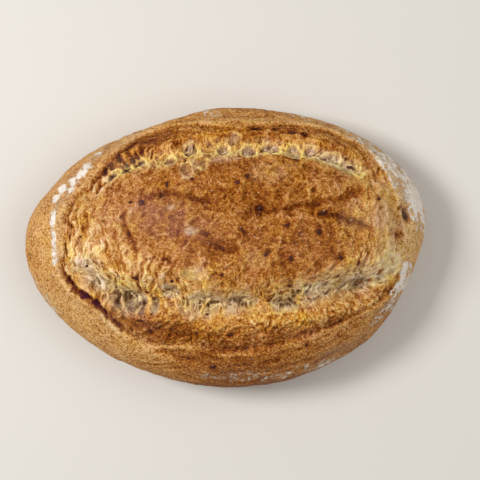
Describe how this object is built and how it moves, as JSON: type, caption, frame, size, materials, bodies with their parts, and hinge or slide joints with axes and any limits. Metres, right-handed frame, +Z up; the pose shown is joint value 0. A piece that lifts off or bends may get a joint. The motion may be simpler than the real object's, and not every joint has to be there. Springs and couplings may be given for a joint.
{
  "type": "seeded sourdough loaf",
  "caption": "Whole oval sourdough loaf with a smooth floured rim crust and a domed, craggy top burst open along two long tears, with dark seeds baked in.",
  "frame": {"origin": "on the table, under the middle of the loaf's box", "axes": "+X along the loaf's length, +Y across it, +Z up out of its crown"},
  "size_m": [0.28, 0.195, 0.092],
  "materials": {
    "crust": "baked bread crust, matt and craggy, browned, with pale torn crumb, flour and dark seeds; matte_plastic stands in for food"
  },
  "bodies": {
    "root": {"loaf": "crust"}
  },
  "joints": []
}
